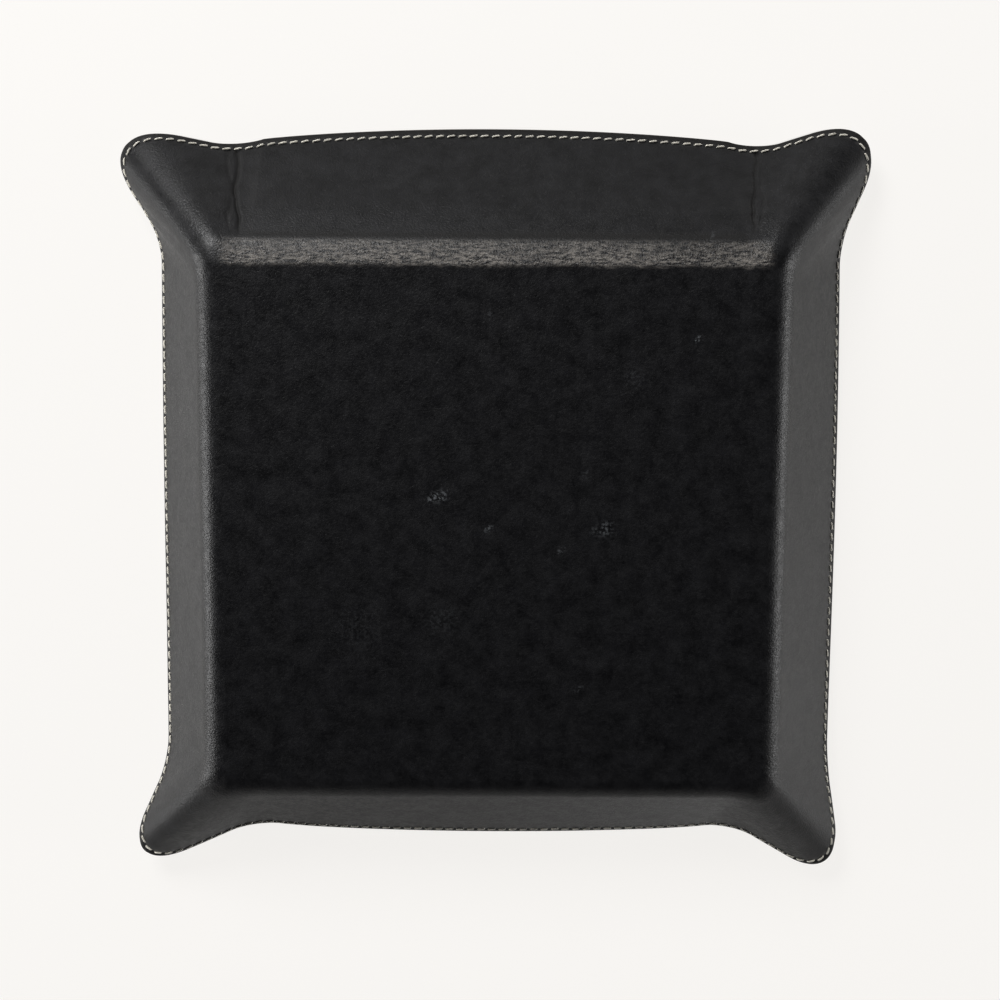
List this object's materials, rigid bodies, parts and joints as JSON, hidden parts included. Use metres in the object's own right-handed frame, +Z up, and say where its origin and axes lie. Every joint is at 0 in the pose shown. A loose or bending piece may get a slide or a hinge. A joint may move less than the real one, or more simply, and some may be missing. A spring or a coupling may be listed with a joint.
{
  "type": "valet tray",
  "caption": "Square leather catch-all tray with folded walls, drawn-out corner ears and a stitched rim, open at the top.",
  "frame": {"origin": "middle of the flat underside that the tray stands on", "axes": "+Z up out of the tray's opening, the front wall at -Y, the right wall at +X"},
  "size_m": [0.2504, 0.257, 0.038],
  "materials": {
    "outer_leather": "smooth black cowhide, waxed, creased at the folds",
    "lining_leather": "smooth black leather, matt",
    "board": "grey-brown bonded fibreboard",
    "thread": "waxed cream polyester thread"
  },
  "bodies": {
    "root": {"outer_leather": "outer_leather", "lining": "lining_leather", "base_board": "board", "wall_board_back": "board", "wall_board_front": "board", "wall_board_left": "board", "wall_board_right": "board", "needle_thread": "thread", "bobbin_thread": "thread"}
  },
  "joints": []
}
